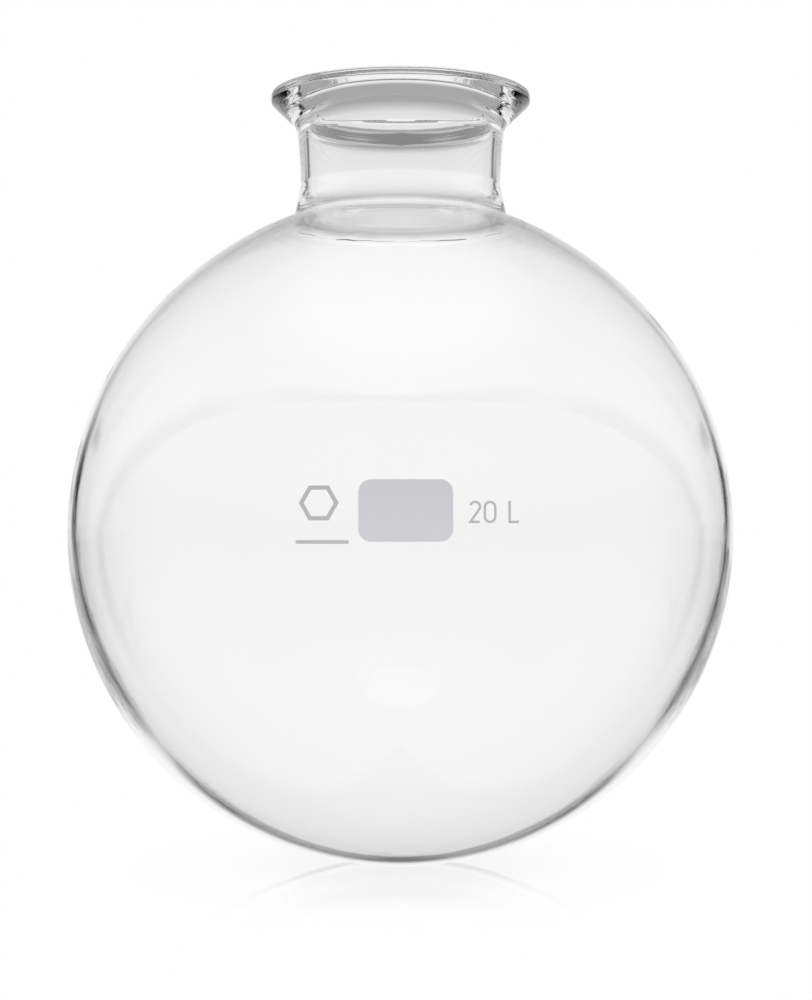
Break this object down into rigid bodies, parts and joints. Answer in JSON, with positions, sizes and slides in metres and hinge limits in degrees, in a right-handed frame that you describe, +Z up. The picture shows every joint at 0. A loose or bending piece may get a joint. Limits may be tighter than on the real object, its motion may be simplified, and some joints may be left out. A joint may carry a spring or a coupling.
{
  "type": "round bottom flask",
  "caption": "Large clear spherical laboratory flask with a short wide neck, a bevelled flat flange mouth and a fired writing panel, for distilling, evaporating or collecting liquids.",
  "frame": {"origin": "lowest point of the bulb, on the flask's axis", "axes": "+Z up the neck along the axis of revolution, -Y through the middle of the fired print, +X to the right of the print as it is read"},
  "size_m": [0.35, 0.3501, 0.4085],
  "materials": {
    "clear_glass": "fire polished borosilicate glass",
    "panel_enamel": "fired matt enamel",
    "figure_enamel": "fired enamel"
  },
  "bodies": {
    "root": {"bulb": "clear_glass", "shoulder": "clear_glass", "neck": "clear_glass", "flange": "clear_glass", "writing_panel": "panel_enamel", "capacity_mark": "figure_enamel", "maker_mark": "panel_enamel"}
  },
  "joints": []
}
